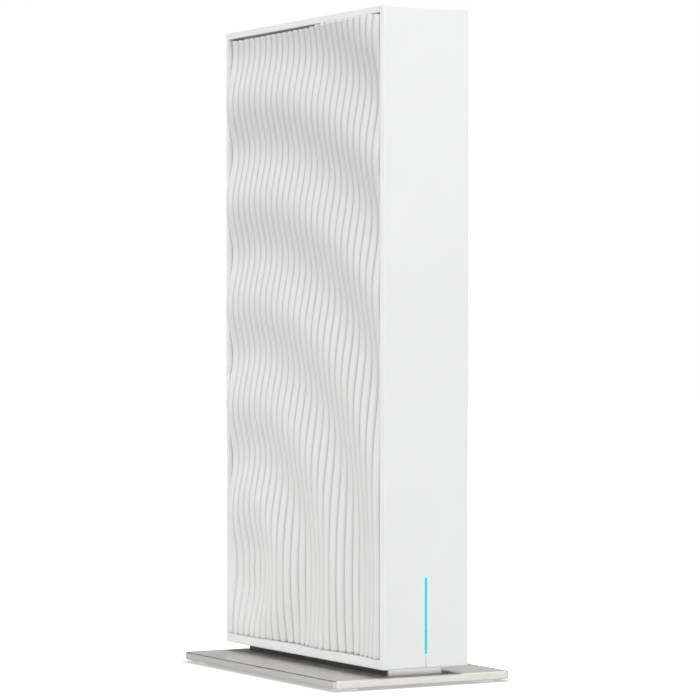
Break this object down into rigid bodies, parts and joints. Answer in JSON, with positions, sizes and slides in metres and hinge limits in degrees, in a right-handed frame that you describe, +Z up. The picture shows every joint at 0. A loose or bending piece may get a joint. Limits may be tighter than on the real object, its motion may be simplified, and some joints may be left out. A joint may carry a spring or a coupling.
{
  "type": "wireless router",
  "caption": "Slim upright wireless router: a flat white band round two wave-ribbed side panels, a thin light bar low on the front, ports behind, on a flat metal base.",
  "frame": {"origin": "middle of the footprint, on the surface that the feet rest on", "axes": "+Z up; the front, with the light bar, faces -Y; the wave panels face -X and +X; the ports face +Y"},
  "size_m": [0.075, 0.125, 0.25],
  "materials": {
    "white_shell": "fine satin texture",
    "white_panel": "satin, moulded ribs",
    "port_panel_plastic": "fine matt texture",
    "light_guide": "translucent, lit from behind",
    "brushed_base": "brushed along its length",
    "neck_metal": "satin",
    "foot_rubber": "matt",
    "chassis_plastic": "matt",
    "board": "solder mask",
    "antenna_board": "solder mask",
    "dark_plastic": "matt",
    "wan_plastic": "matt",
    "button_plastic": "satin",
    "steel": "plated",
    "contact_metal": "gold plated",
    "chip": "moulded epoxy",
    "thermal_pad": "soft",
    "sink_metal": "as extruded",
    "capacitor_can": "bright",
    "lead_jacket": "smooth",
    "brass": "turned",
    "holder_plastic": "matt",
    "emitter": "clear cap"
  },
  "bodies": {
    "router": {"housing_frame": "white_shell", "left_wave_panel": "white_panel", "right_wave_panel": "white_panel", "rear_port_panel": "port_panel_plastic", "light_bar": "light_guide", "light_bar_holder": "holder_plastic", "light_board": "board", "light_emitters": "emitter", "light_cable": "lead_jacket", "inner_chassis": "chassis_plastic", "main_board": "board", "processor_chips": "chip", "memory_chips": "chip", "thermal_pads": "thermal_pad", "heatsink": "sink_metal", "radio_shields": "steel", "capacitors": "capacitor_can", "inductors": "chip", "lan_jack_1": "dark_plastic", "lan_jack_2": "dark_plastic", "lan_jack_3": "dark_plastic", "wan_jack": "wan_plastic", "ethernet_contacts": "contact_metal", "ethernet_magnetics": "chip", "usb_shell": "steel", "usb_tongue": "wan_plastic", "usb_contacts": "contact_metal", "power_jack_body": "dark_plastic", "power_jack_pin": "steel", "power_switch": "dark_plastic", "pairing_switch": "dark_plastic", "reset_switch": "dark_plastic", "top_front_antenna": "antenna_board", "top_rear_antenna": "antenna_board", "lower_front_antenna": "antenna_board", "middle_front_antenna": "antenna_board", "upper_front_antenna": "antenna_board", "antenna_plugs": "contact_metal", "antenna_cables": "lead_jacket", "base_neck": "neck_metal", "base_plate": "brushed_base", "rubber_feet": "foot_rubber", "base_screws": "steel", "threaded_inserts": "brass", "board_screws": "steel", "chassis_screws": "steel", "heatsink_screws": "steel", "port_panel_screws": "steel"},
    "power_button": {"power_button": "button_plastic"},
    "pairing_button": {"pairing_button": "button_plastic", "pairing_plunger": "dark_plastic"},
    "reset_plunger": {"reset_plunger": "dark_plastic"}
  },
  "joints": [
    {"name": "power_button_press", "type": "slide", "parent": "router", "child": "power_button", "axis": [0, -1, 0], "range_m": [0, 0.0015], "stiffness_N_per_m": 600, "springref_m": -0.001},
    {"name": "pairing_button_press", "type": "slide", "parent": "router", "child": "pairing_button", "axis": [0, -1, 0], "range_m": [0, 0.0005], "stiffness_N_per_m": 1000, "springref_m": -0.0005},
    {"name": "reset_press", "type": "slide", "parent": "router", "child": "reset_plunger", "axis": [0, -1, 0], "range_m": [0, 0.00025], "stiffness_N_per_m": 1000, "springref_m": -0.0005}
  ]
}
